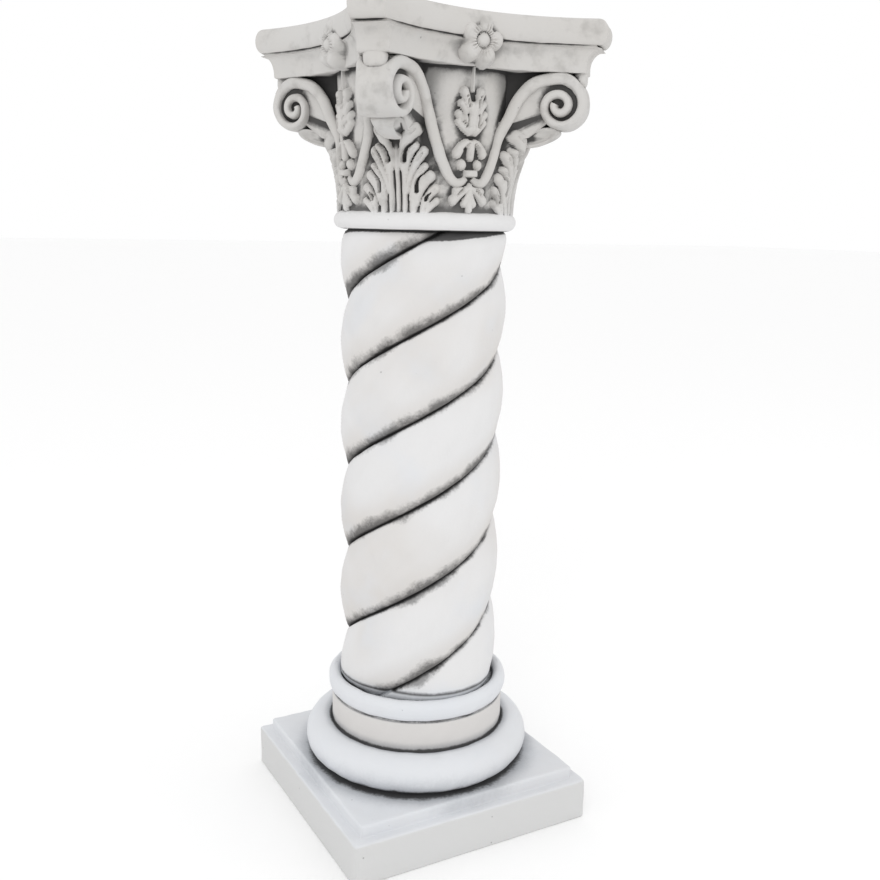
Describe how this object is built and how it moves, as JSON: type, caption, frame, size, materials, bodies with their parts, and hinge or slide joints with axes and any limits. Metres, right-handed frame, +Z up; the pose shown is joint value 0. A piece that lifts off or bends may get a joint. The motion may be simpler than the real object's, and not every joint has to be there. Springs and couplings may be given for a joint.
{
  "type": "garden column",
  "caption": "Twisted cast-stone garden column on a square plinth, with a leafy scrolled capital and a flat top that carries a pot or a figure.",
  "frame": {"origin": "middle of the plinth's underside", "axes": "+Z up the shaft, X and Y along the sides of the square plinth"},
  "size_m": [0.2682, 0.2682, 0.8],
  "materials": {
    "cast_stone": "matt, with a dark wash in the recesses"
  },
  "bodies": {
    "root": {"column": "cast_stone"}
  },
  "joints": []
}
